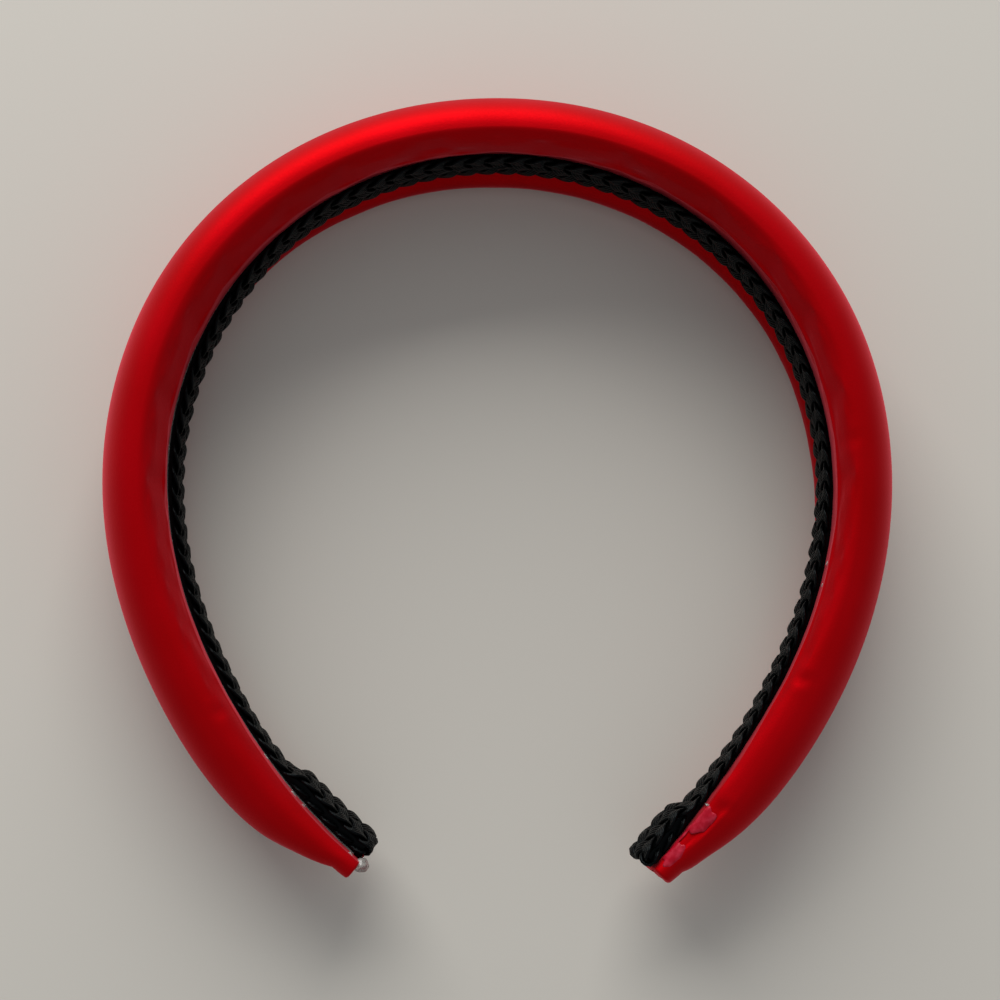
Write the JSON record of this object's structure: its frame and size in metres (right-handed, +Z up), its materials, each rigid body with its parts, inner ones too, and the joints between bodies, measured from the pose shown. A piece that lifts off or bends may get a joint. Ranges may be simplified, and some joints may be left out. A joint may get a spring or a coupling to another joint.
{
  "type": "padded headband",
  "caption": "Open-ring padded headband: springy plastic core, foam pad and smooth satin cover, lined with a glued black braid on the inner face.",
  "frame": {"origin": "on the ground under the middle of the band's outline, with the band lying on its side", "axes": "+Z up across the band's width, +Y towards the crown, +X towards the right arm, tips towards -Y"},
  "size_m": [0.1564, 0.1548, 0.0349],
  "materials": {
    "satin": "smooth red satin, soft sheen",
    "foam": "open-cell foam, matte",
    "core_plastic": "moulded plastic strip",
    "braid": "black corded braid",
    "glue": "clear hot-melt glue"
  },
  "bodies": {
    "crown": {"core_crown": "core_plastic", "foam_crown": "foam", "satin_cover_crown": "satin", "glue_bed_crown": "glue", "braid_crown": "braid"},
    "left_arm": {"core_left": "core_plastic", "foam_left": "foam", "satin_cover_left": "satin", "glue_bed_left": "glue", "braid_left": "braid", "end_tuck_left": "satin", "braid_fold_left": "braid", "tip_glue_left": "glue"},
    "right_arm": {"core_right": "core_plastic", "foam_right": "foam", "satin_cover_right": "satin", "glue_bed_right": "glue", "braid_right": "braid", "end_tuck_right": "satin", "braid_fold_right": "braid", "tip_glue_right": "glue"}
  },
  "joints": [
    {"name": "left_arm_flex", "type": "hinge", "parent": "crown", "child": "left_arm", "pos_m": [-0.048, 0.04896, 0.01669], "axis": [0, 0, -1], "range_deg": [-10, 16], "stiffness_Nm_per_rad": 0.87},
    {"name": "right_arm_flex", "type": "hinge", "parent": "crown", "child": "right_arm", "pos_m": [0.04856, 0.04884, 0.01673], "axis": [0, 0, 1], "range_deg": [-10, 16], "stiffness_Nm_per_rad": 0.87}
  ]
}
